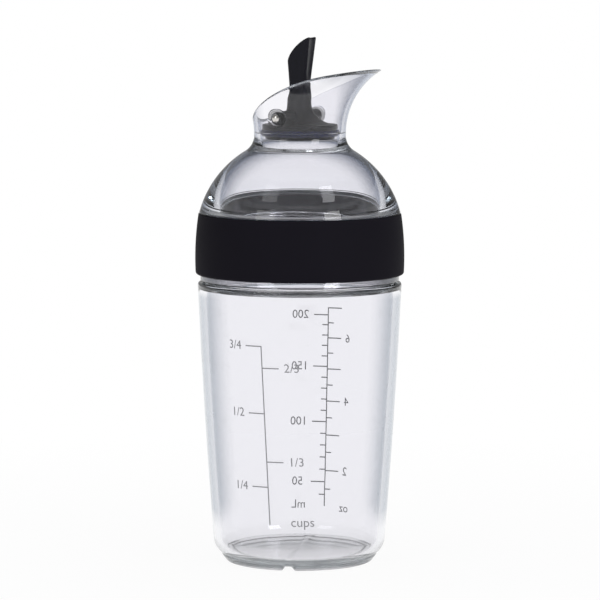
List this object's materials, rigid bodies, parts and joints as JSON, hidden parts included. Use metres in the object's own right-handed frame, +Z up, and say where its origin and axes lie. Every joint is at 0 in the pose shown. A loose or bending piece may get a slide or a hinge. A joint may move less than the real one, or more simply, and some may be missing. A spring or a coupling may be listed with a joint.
{
  "type": "salad dressing shaker bottle",
  "caption": "Clear tapered shaker bottle with a screw-on spout dome, a soft grip collar and a tilting lever stopper that opens the flared pouring spout.",
  "frame": {"origin": "on the bottle's axis, at the underside of the foot ring that it stands on", "axes": "+Z up along the bottle's axis, +X the way the spout points, Y along the stopper's hinge pin"},
  "size_m": [0.07, 0.07, 0.1756],
  "materials": {
    "clear_plastic": "clear, polished",
    "dome_plastic": "clear, polished",
    "clear_silicone": "translucent, satin",
    "soft_grip": "soft matte",
    "pin_steel": "polished",
    "black_plastic": "satin moulded",
    "navy_silicone": "satin"
  },
  "bodies": {
    "bottle": {"bottle": "clear_plastic"},
    "gasket": {"rim_gasket": "clear_silicone"},
    "top": {"spout_dome": "dome_plastic", "grip_collar": "soft_grip", "hinge_pin": "pin_steel"},
    "stopper": {"stopper_lever": "black_plastic", "stopper_seal": "navy_silicone"}
  },
  "joints": [
    {"name": "top_lift", "type": "slide", "parent": "bottle", "child": "gasket", "axis": [0, 0, 1], "range_m": [0, 0.009]},
    {"name": "top_turn", "type": "hinge", "parent": "gasket", "child": "top", "pos_m": [0, 0, 0.1], "axis": [0, 0, 1], "range_deg": [0, 540]},
    {"name": "stopper_tilt", "type": "hinge", "parent": "top", "child": "stopper", "pos_m": [-0.0009, 0, 0.14919], "axis": [0, -1, 0], "range_deg": [0, 65]}
  ],
  "couplings": [
    {"joint": "top_turn", "follows": "top_lift", "rad_per_m": 1047.2}
  ]
}
